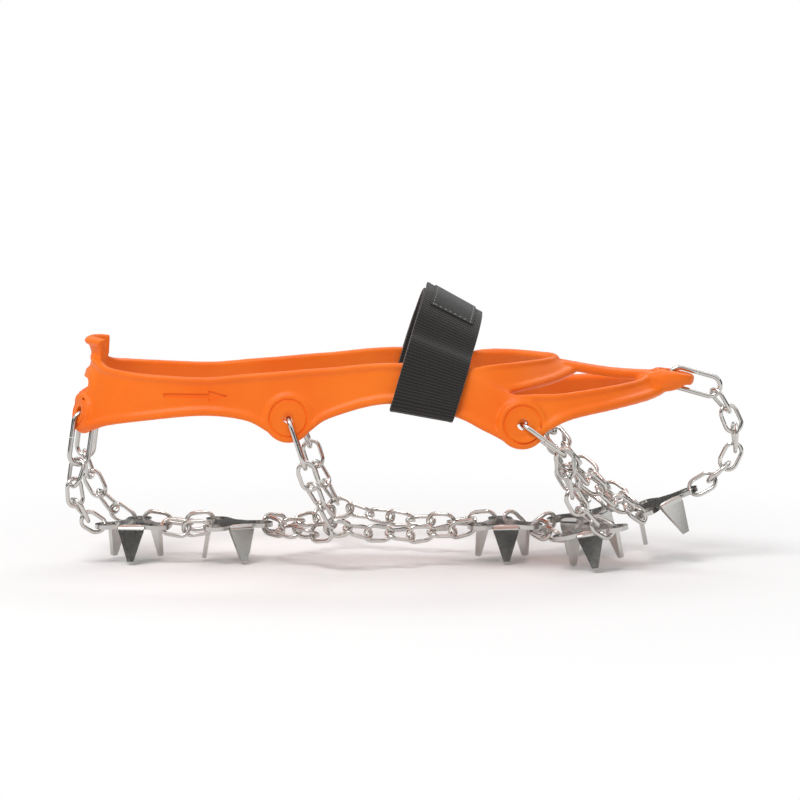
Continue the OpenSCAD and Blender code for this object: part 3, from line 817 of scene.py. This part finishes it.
def make_plate(node):
    bm = bmesh.new()
    bm.from_mesh(nodes[node].data)
    bmesh.ops.remove_doubles(bm, verts=bm.verts, dist=1e-6)
    bmesh.ops.dissolve_limit(bm, angle_limit=math.radians(1), verts=bm.verts, edges=bm.edges)
    piece = add_piece(node + "_sheet", bm, plate_finish, node, [node], 35)
    bevel = piece.modifiers.new("pressed_edge", "BEVEL")
    bevel.width = PRESSED_EDGE * MM
    bevel.segments = 2
    bevel.limit_method = "ANGLE"
    bevel.angle_limit = math.radians(40)
    bevel.use_clamp_overlap = True
    bevel.harden_normals = True


for plate_node in sorted(n for n in nodes if n.startswith("plate_")):
    make_plate(plate_node)


# Instep strap: the construction's path, as woven webbing with a thicker selvedge
STRAP_WIDTH = 30
STRAP_THICKNESS = 1.6
PATCH_THICKNESS = 0.7
STRAP_FOOT_X, STRAP_FOOT_Z, STRAP_CROWN_Z = 10.3, 58, 104
STRAP_LEAN = 0.3
FOOT_SLANT, CROWN_SLANT, FOOT_FLARE = 10, 29, 0.15
STRAP_FOLD = [(-47, 61.5), (-47, 59.4), (-45.9, 57.2), (-42.9, 56.3), (-39.8, 57.3), (-38.7, 60.5)]
STRAP_RISE = [(-37, 70), (-35, 80.4), (-32.3, 87.5), (-26.5, 95.5), (-15, 102)]
STRAP_SEWN_END = [(47, 61.5), (45.3, 70), (43.1, 80.2), (38.8, 86.8), (32, 92.4)]
TAIL_FOOT = [(-47, 61.55), (-46.6, 64), (-45.3, 70), (-43.1, 80.2), (-40.4, 85.4)]
STRAP_RIGHT = STRAP_FOLD + STRAP_RISE
BASE_PATH = (STRAP_RIGHT + [(0, STRAP_CROWN_Z)] + [(-y, z) for y, z in reversed(STRAP_RIGHT[1:])]
             + STRAP_SEWN_END)
STRAP_STEPS = 6
SELVEDGE, SELVEDGE_INSET, STRIP_CORNER = 0.12, 1.2, 0.25
TAPE_WIDTH = STRAP_WIDTH - 2
PATCH_WIDTH = STRAP_WIDTH - 8
PATCH_STEPS = 11
TAIL_LIFT = STRAP_THICKNESS + 2 * PATCH_THICKNESS + 0.3
LOOP_FIRST = len(STRAP_FOLD) + 2
LOOP_LAST = len(STRAP_RIGHT)


def strap_frames(path):
    """Middle, across and outward direction of the webbing at each point of its path."""
    frames = []
    for i, (y, z) in enumerate(path):
        share = (z - STRAP_FOOT_Z) / (STRAP_CROWN_Z - STRAP_FOOT_Z)
        slant = math.radians(FOOT_SLANT + (CROWN_SLANT - FOOT_SLANT) * share)
        flare = math.copysign(1, y) * FOOT_FLARE * (1 - share) if y else 0
        across = Vector((math.cos(slant), flare, -math.sin(slant))).normalized()
        ahead, behind = path[min(i + 1, len(path) - 1)], path[max(i - 1, 0)]
        run = Vector((0, ahead[0] - behind[0], ahead[1] - behind[1]))
        out = -run.cross(across).normalized()
        frames.append([Vector((STRAP_FOOT_X + STRAP_LEAN * (z - STRAP_FOOT_Z), y, z)), across, out])
    return frames


BASE_FRAMES = strap_frames(BASE_PATH)
TAIL_FRAMES = strap_frames(TAIL_FOOT) + [[p + out * TAIL_LIFT, across, out]
                                         for p, across, out in BASE_FRAMES[LOOP_FIRST:LOOP_LAST + 1]]


def ribbon_profile(width, inner, outer, selvedge):
    """Section of a strip as (across, out) points, in millimetres."""
    half = width / 2
    edge = min(SELVEDGE_INSET, half / 4)
    corner = half - STRIP_CORNER
    middle = (inner + outer) / 2
    return [
        (-half, middle), (-corner, outer), (-half + edge, outer + selvedge), (-half + 2 * edge, outer),
        (0, outer),
        (half - 2 * edge, outer), (half - edge, outer + selvedge), (corner, outer), (half, middle),
        (corner, inner), (half - edge, inner - selvedge), (half - 2 * edge, inner),
        (0, inner),
        (-half + 2 * edge, inner), (-half + edge, inner - selvedge), (-corner, inner)]


def ribbon_length(frames):
    return sum((b[0] - a[0]).length for a, b in zip(frames, frames[1:]))


def make_ribbon(name, frames, width, inner, outer, selvedge, material, body, replaced):
    fine = refine(frames, STRAP_STEPS, False)
    profile = ribbon_profile(width, inner, outer, selvedge)
    bm = bmesh.new()
    sections = [[(p + across.normalized() * u + out.normalized() * v) * MM for u, v in profile]
                for p, across, out in fine]
    sweep_sections(bm, sections, False)
    across_layer = bm.verts.layers.float.new("across")
    along_layer = bm.verts.layers.float.new("along")
    bm.verts.ensure_lookup_table()
    run = 0.0
    for i, section in enumerate(fine):
        if i:
            run += (section[0] - fine[i - 1][0]).length
        for k, (u, _) in enumerate(profile):
            vertex = bm.verts[i * len(profile) + k]
            vertex[across_layer] = u
            vertex[along_layer] = run
    return add_piece(name, bm, material, body, replaced, 50), ribbon_length(fine)


HALF_STRAP = STRAP_THICKNESS / 2
OUTER_TAPE = HALF_STRAP + PATCH_THICKNESS
base_web, base_length = make_ribbon(
    "strap_base_webbing", BASE_FRAMES, STRAP_WIDTH, -HALF_STRAP, HALF_STRAP, SELVEDGE,
    webbing_finish, "harness", ["strap_base"])
tail_web, tail_length = make_ribbon(
    "strap_tail_webbing", TAIL_FRAMES, STRAP_WIDTH, -HALF_STRAP, HALF_STRAP, SELVEDGE,
    webbing_finish, "strap_tail", ["strap_tail"])
make_ribbon("strap_loop_tape", BASE_FRAMES[LOOP_FIRST:LOOP_LAST + 1], TAPE_WIDTH, HALF_STRAP, OUTER_TAPE, 0,
            tape_finish, "harness", ["strap_loop_patch"])
make_ribbon("strap_hook_tape", TAIL_FRAMES[len(TAIL_FOOT):], TAPE_WIDTH, -OUTER_TAPE, -HALF_STRAP, 0,
            tape_finish, "strap_tail", ["strap_hook_patch"])
PATCH_FRAMES = refine(TAIL_FRAMES, STRAP_STEPS, False)[-PATCH_STEPS:]
make_ribbon("strap_sewn_patch", PATCH_FRAMES, PATCH_WIDTH, HALF_STRAP, OUTER_TAPE, 0,
            patch_finish, "strap_tail", ["strap_end_patch"])


# Stitches: short bars of thread, laid in rows on a strip's outer face
STITCH, STITCH_PITCH, STITCH_THREAD, STITCH_SPREAD = 1.7, 2.5, 0.5, 1.3
PATCH_HEM, PATCH_SIDE_HEM = 1.2, 1.4
SEWN_END_START, SEWN_END_STOP, SEWN_END_HEM = 20, 4, 3


def strip_point(fine, run, across, out):
    """Point, direction along and direction across on a strip, at a distance along its path."""
    for (p, side, up), (q, _, _) in zip(fine, fine[1:]):
        step = (q - p).length
        if run <= step:
            place = p.lerp(q, run / step) + side.normalized() * across + up.normalized() * out
            return place, (q - p).normalized(), side
        run -= step
    (p, _, _), (q, side, _) = fine[-2:]
    return q + side.normalized() * across, (q - p).normalized(), side


def add_stitch(bm, place, way, up):
    made = bmesh.ops.create_uvsphere(bm, u_segments=8, v_segments=6, radius=MM / 2)
    shape = Matrix.Diagonal((STITCH, STITCH_THREAD * STITCH_SPREAD, STITCH_THREAD, 1))
    seat = Matrix.Translation(place * MM) @ unit_frame(way, up.cross(way))
    bmesh.ops.transform(bm, matrix=seat @ shape, verts=made["verts"])


def add_stitch_box(bm, fine, run_start, run_end, half, out):
    """A row of stitches round a rectangle on the strip."""
    for k in range(int((run_end - run_start) / STITCH_PITCH) + 1):
        for side in (-1, 1):
            place, way, across = strip_point(fine, run_start + k * STITCH_PITCH, side * half, out)
            add_stitch(bm, place, way, way.cross(across))
    for run in (run_start, run_end):
        for k in range(int(2 * half / STITCH_PITCH)):
            place, way, across = strip_point(fine, run, -half + (k + 0.5) * STITCH_PITCH, out)
            add_stitch(bm, place, across.normalized(), way.cross(across))


def make_stitches():
    tail = refine(TAIL_FRAMES, STRAP_STEPS, False)
    tail_run = ribbon_length(tail)
    patch_start = tail_run - ribbon_length(PATCH_FRAMES)
    bm = bmesh.new()
    add_stitch_box(bm, tail, patch_start + PATCH_HEM, tail_run - PATCH_HEM,
                   PATCH_WIDTH / 2 - PATCH_SIDE_HEM, OUTER_TAPE)
    add_piece("strap_patch_stitches", bm, thread_finish, "strap_tail", [])
    base = refine(BASE_FRAMES, STRAP_STEPS, False)
    base_run = ribbon_length(base)
    bm = bmesh.new()
    add_stitch_box(bm, base, base_run - SEWN_END_START, base_run - SEWN_END_STOP,
                   STRAP_WIDTH / 2 - SEWN_END_HEM, HALF_STRAP)
    add_piece("strap_end_stitches", bm, thread_finish, "harness", [])


make_stitches()


# Pale floor, soft lights and a white surround
WORLD_LIGHT = 0.5
FLOOR_DROP = 0.0005
FLOOR_FADE_START, FLOOR_FADE_END = 0.12, 0.34
FLAG_DISTANCE, FLAG_HEIGHT, FLAG_SIZE = 0.9, 0.24, (1.3, 0.36)
FLAG_AIM = Vector((0, 0, 0.03))
LIGHT_AIM = Vector((0, 0, 0.05))


def mix_plain(tree, share, shade, shader_name):
    """The real shade, with a plain white or clear shader mixed in by share."""
    mix = tree.nodes.new("ShaderNodeMixShader")
    plain = tree.nodes.new(shader_name)
    plain.inputs["Color"].default_value = (1, 1, 1, 1)
    tree.links.new(share, mix.inputs[0])
    tree.links.new(shade, mix.inputs[1])
    tree.links.new(plain.outputs[0], mix.inputs[2])
    return mix.outputs[0]


def seen_by_eye(tree):
    """1 for what the camera sees, straight or in a reflection."""
    path = tree.nodes.new("ShaderNodeLightPath").outputs
    mirrored = add_math(tree, "MAXIMUM", path["Is Glossy Ray"], path["Is Transmission Ray"])
    return add_math(tree, "MAXIMUM", path["Is Camera Ray"], mirrored)


def make_world():
    world = bpy.data.worlds.new("studio")
    bpy.context.scene.world = world
    world.use_nodes = True
    tree = world.node_tree
    shade = tree.nodes["Background"]
    shade.inputs["Color"].default_value = (1, 1, 1, 1)
    shade.inputs["Strength"].default_value = WORLD_LIGHT
    white = mix_plain(tree, seen_by_eye(tree), shade.outputs[0], "ShaderNodeBackground")
    tree.links.new(white, tree.nodes["World Output"].inputs["Surface"])


def make_floor():
    """Pale floor that keeps the shadow near the object, runs out into the white surround and is clear
    from below."""
    bm = bmesh.new()
    level = Matrix.Translation((0, 0, cad_box[0][2] - FLOOR_DROP))
    bmesh.ops.create_grid(bm, x_segments=1, y_segments=1, size=3, matrix=level)
    floor = mesh_object("floor", bm)
    pale = Finish("pale_floor", Roughness=0.9, Base_Color=(0.95, 0.95, 0.95, 1))
    reach = pale.tree.nodes.new("ShaderNodeVectorMath")
    reach.operation = "LENGTH"
    pale.tree.links.new(pale.place(), reach.inputs[0])
    away = pale.tree.nodes.new("ShaderNodeMapRange")
    away.interpolation_type = "SMOOTHSTEP"
    away.inputs["From Min"].default_value = FLOOR_FADE_START
    away.inputs["From Max"].default_value = FLOOR_FADE_END
    pale.tree.links.new(reach.outputs["Value"], away.inputs["Value"])
    share = add_math(pale.tree, "MULTIPLY", away.outputs["Result"], seen_by_eye(pale.tree))
    white = mix_plain(pale.tree, share, pale.shader.outputs[0], "ShaderNodeEmission")
    below = pale.tree.nodes.new("ShaderNodeNewGeometry").outputs["Backfacing"]
    clear = mix_plain(pale.tree, below, white, "ShaderNodeBsdfTransparent")
    pale.tree.links.new(clear, pale.tree.nodes["Material Output"].inputs["Surface"])
    floor.data.materials.append(pale.material)


def add_flag(name, place, size):
    """Dark card round the object that only polished metal sees, as a studio uses to give it contrast."""
    bm = bmesh.new()
    turn = (FLAG_AIM - Vector(place)).to_track_quat("-Z", "Y").to_matrix().to_4x4()
    bmesh.ops.create_grid(bm, x_segments=1, y_segments=1, size=0.5,
                          matrix=Matrix.Translation(place) @ turn @ Matrix.Diagonal((*size, 1, 1)))
    flag = mesh_object(name, bm)
    card = Finish(name, Roughness=1.0, Base_Color=(0.03, 0.028, 0.026, 1))
    flag.data.materials.append(card.material)
    flag.visible_camera = False
    flag.visible_diffuse = False
    flag.visible_shadow = False


def add_light(name, place, size, energy):
    light = bpy.data.lights.new(name, "AREA")
    light.shape = "RECTANGLE"
    light.size, light.size_y = size
    light.energy = energy
    rig = place_object(name, light)
    rig.location = place
    rig.rotation_euler = (LIGHT_AIM - Vector(place)).to_track_quat("-Z", "Y").to_euler()


make_world()
make_floor()
for flag_name, flag_x, flag_y in (("front", 0, -1), ("back", 0, 1), ("heel", -1, 0), ("toe", 1, 0)):
    add_flag("flag_" + flag_name, (flag_x * FLAG_DISTANCE, flag_y * FLAG_DISTANCE, FLAG_HEIGHT), FLAG_SIZE)
add_light("key", (-0.5, -0.7, 1.4), (0.7, 0.5), 13)
add_light("back", (0.3, 1.0, 1.2), (1.0, 0.5), 5)
bpy.context.scene.view_settings.view_transform = "Standard"
